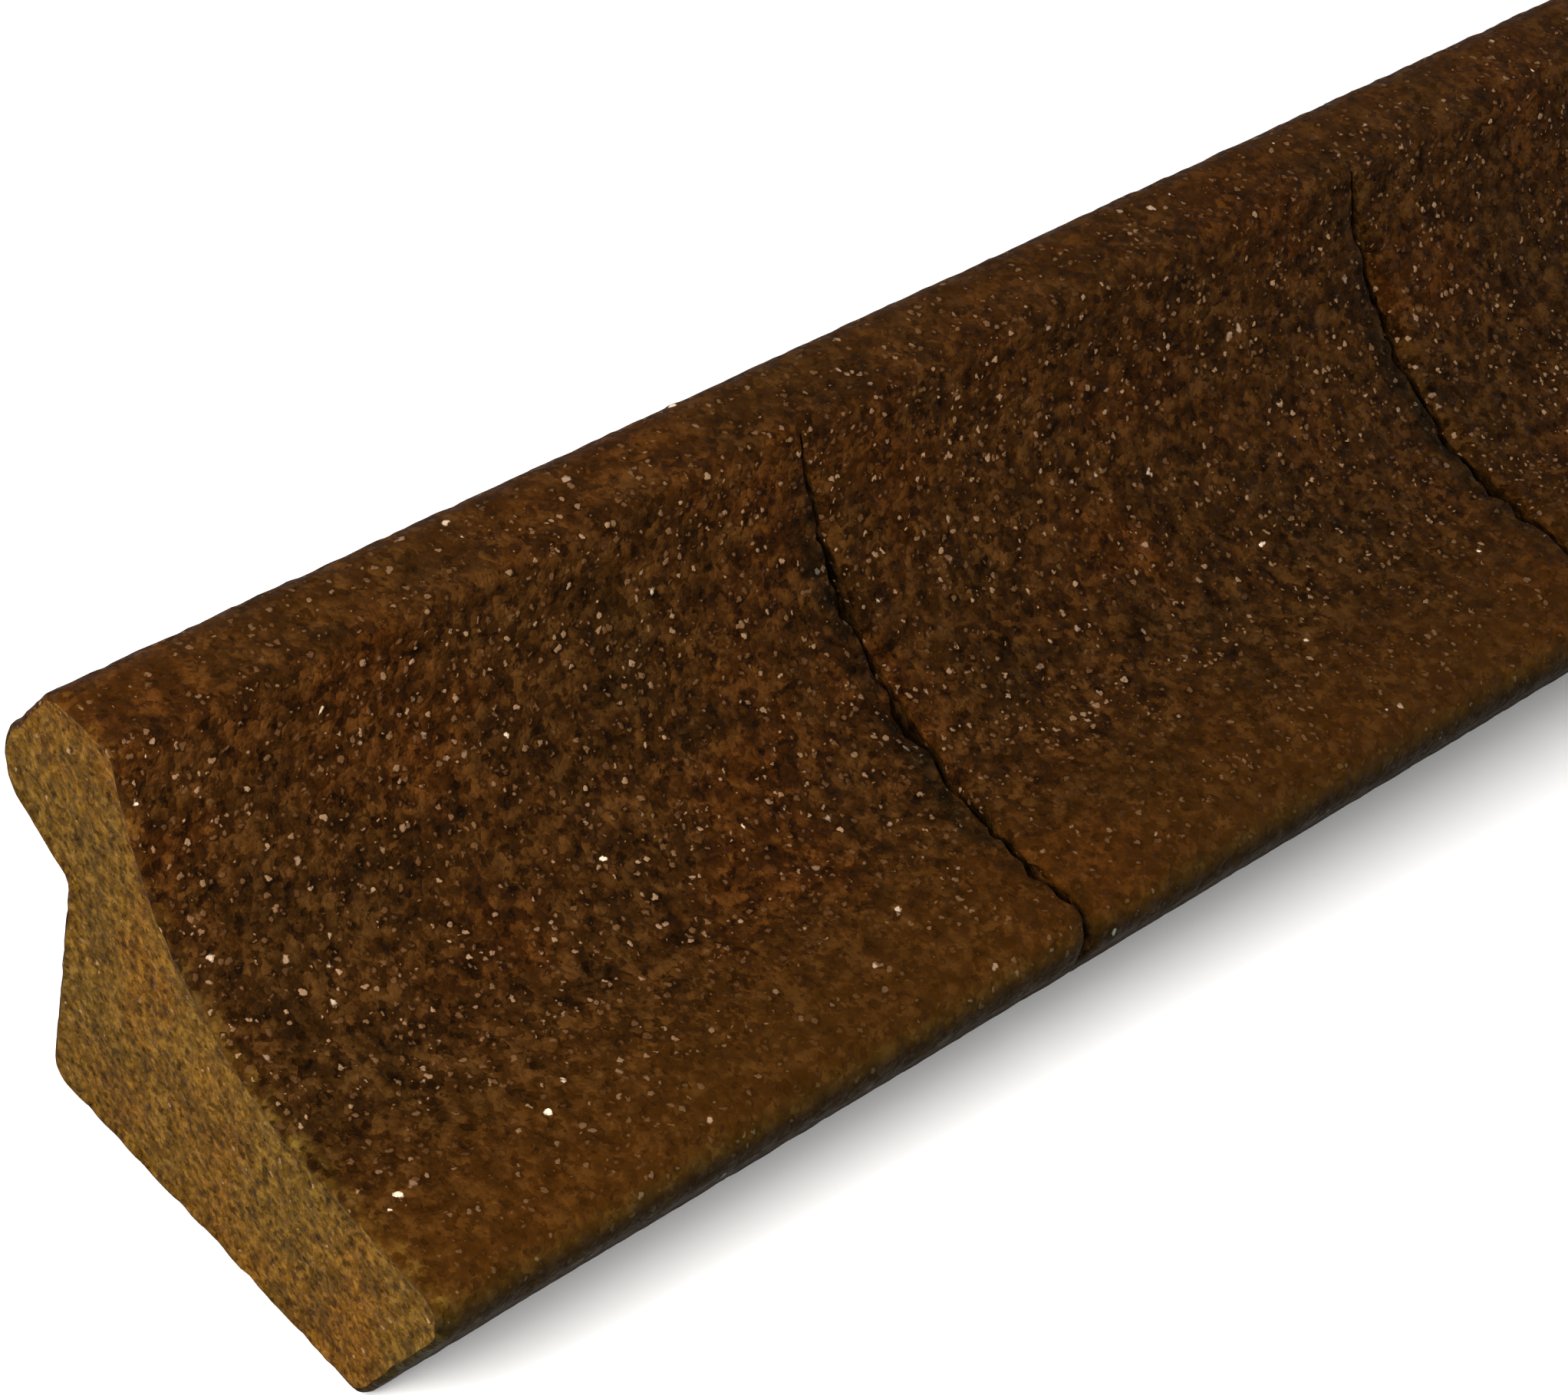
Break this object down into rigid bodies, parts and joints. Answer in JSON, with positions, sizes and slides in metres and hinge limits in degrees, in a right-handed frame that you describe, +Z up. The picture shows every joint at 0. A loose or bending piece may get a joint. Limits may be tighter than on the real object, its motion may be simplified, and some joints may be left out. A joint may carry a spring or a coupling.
{
  "type": "landscape kerb edging strip",
  "caption": "Flexible kerb-shaped edging strip with a concrete look: leaning toe, flat shelf, hollow rise, overhanging nose, crosswise slits.",
  "frame": {"origin": "centre of the strip's box on the plane of its underside", "axes": "+X along the strip, -Y towards the toe, +Y towards the back wall, +Z up"},
  "size_m": [1.2192, 0.1088, 0.0779],
  "materials": {
    "kerb_granules": "matte, granular, brown with pale flecks",
    "web_granules": "matte, granular, brown with pale flecks"
  },
  "bodies": {
    "block_1": {"kerb_block_1": "kerb_granules"},
    "block_2": {"kerb_block_2": "kerb_granules", "flex_web_1": "web_granules"},
    "block_3": {"kerb_block_3": "kerb_granules", "flex_web_2": "web_granules"},
    "block_4": {"kerb_block_4": "kerb_granules", "flex_web_3": "web_granules"},
    "block_5": {"kerb_block_5": "kerb_granules", "flex_web_5": "web_granules", "flex_web_4": "web_granules"},
    "block_6": {"kerb_block_6": "kerb_granules", "flex_web_6": "web_granules"},
    "block_7": {"kerb_block_7": "kerb_granules", "flex_web_7": "web_granules"},
    "block_8": {"kerb_block_8": "kerb_granules", "flex_web_8": "web_granules"},
    "block_9": {"kerb_block_9": "kerb_granules"}
  },
  "joints": [
    {"name": "slit_1_bend", "type": "hinge", "parent": "block_2", "child": "block_1", "pos_m": [-0.47413, 0.03696, 0], "axis": [0, 0, -1], "range_deg": [-0.5, 8], "stiffness_Nm_per_rad": 12, "deforming": ["flex_web_1"]},
    {"name": "slit_2_bend", "type": "hinge", "parent": "block_3", "child": "block_2", "pos_m": [-0.33867, 0.03696, 0], "axis": [0, 0, -1], "range_deg": [-0.5, 8], "stiffness_Nm_per_rad": 12, "deforming": ["flex_web_2"]},
    {"name": "slit_3_bend", "type": "hinge", "parent": "block_4", "child": "block_3", "pos_m": [-0.2032, 0.03696, 0], "axis": [0, 0, -1], "range_deg": [-0.5, 8], "stiffness_Nm_per_rad": 12, "deforming": ["flex_web_3"]},
    {"name": "slit_4_bend", "type": "hinge", "parent": "block_5", "child": "block_4", "pos_m": [-0.06773, 0.03696, 0], "axis": [0, 0, -1], "range_deg": [-0.5, 8], "stiffness_Nm_per_rad": 12, "deforming": ["flex_web_4"]},
    {"name": "slit_5_bend", "type": "hinge", "parent": "block_5", "child": "block_6", "pos_m": [0.06773, 0.03696, 0], "axis": [0, 0, 1], "range_deg": [-0.5, 8], "stiffness_Nm_per_rad": 12, "deforming": ["flex_web_5"]},
    {"name": "slit_6_bend", "type": "hinge", "parent": "block_6", "child": "block_7", "pos_m": [0.2032, 0.03696, 0], "axis": [0, 0, 1], "range_deg": [-0.5, 8], "stiffness_Nm_per_rad": 12, "deforming": ["flex_web_6"]},
    {"name": "slit_7_bend", "type": "hinge", "parent": "block_7", "child": "block_8", "pos_m": [0.33867, 0.03696, 0], "axis": [0, 0, 1], "range_deg": [-0.5, 8], "stiffness_Nm_per_rad": 12, "deforming": ["flex_web_7"]},
    {"name": "slit_8_bend", "type": "hinge", "parent": "block_8", "child": "block_9", "pos_m": [0.47413, 0.03696, 0], "axis": [0, 0, 1], "range_deg": [-0.5, 8], "stiffness_Nm_per_rad": 12, "deforming": ["flex_web_8"]}
  ]
}
